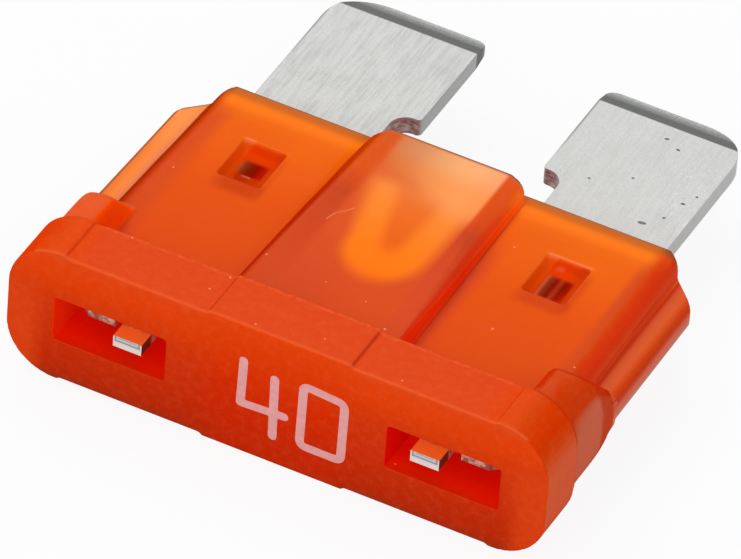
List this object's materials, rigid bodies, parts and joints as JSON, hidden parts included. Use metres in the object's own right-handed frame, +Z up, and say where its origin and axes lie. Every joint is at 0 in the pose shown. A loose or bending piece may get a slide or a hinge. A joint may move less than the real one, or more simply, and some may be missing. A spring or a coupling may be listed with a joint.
{
  "type": "blade fuse",
  "caption": "Automotive blade fuse: translucent moulded housing with a flanged cap and test windows, and a one-piece metal stamping with flat blades joined by a fusible link.",
  "frame": {"origin": "under the middle of the fuse, on the surface that it lies on", "axes": "+X across the width, +Y from the cap towards the blade tips, +Z up out of the front face"},
  "size_m": [0.0188, 0.0188, 0.0051],
  "materials": {
    "plastic": "translucent orange, glossy, with a matte cap",
    "metal": "stamped, dull silver grey"
  },
  "bodies": {
    "root": {"housing": "plastic", "fuse_element": "metal"}
  },
  "joints": []
}
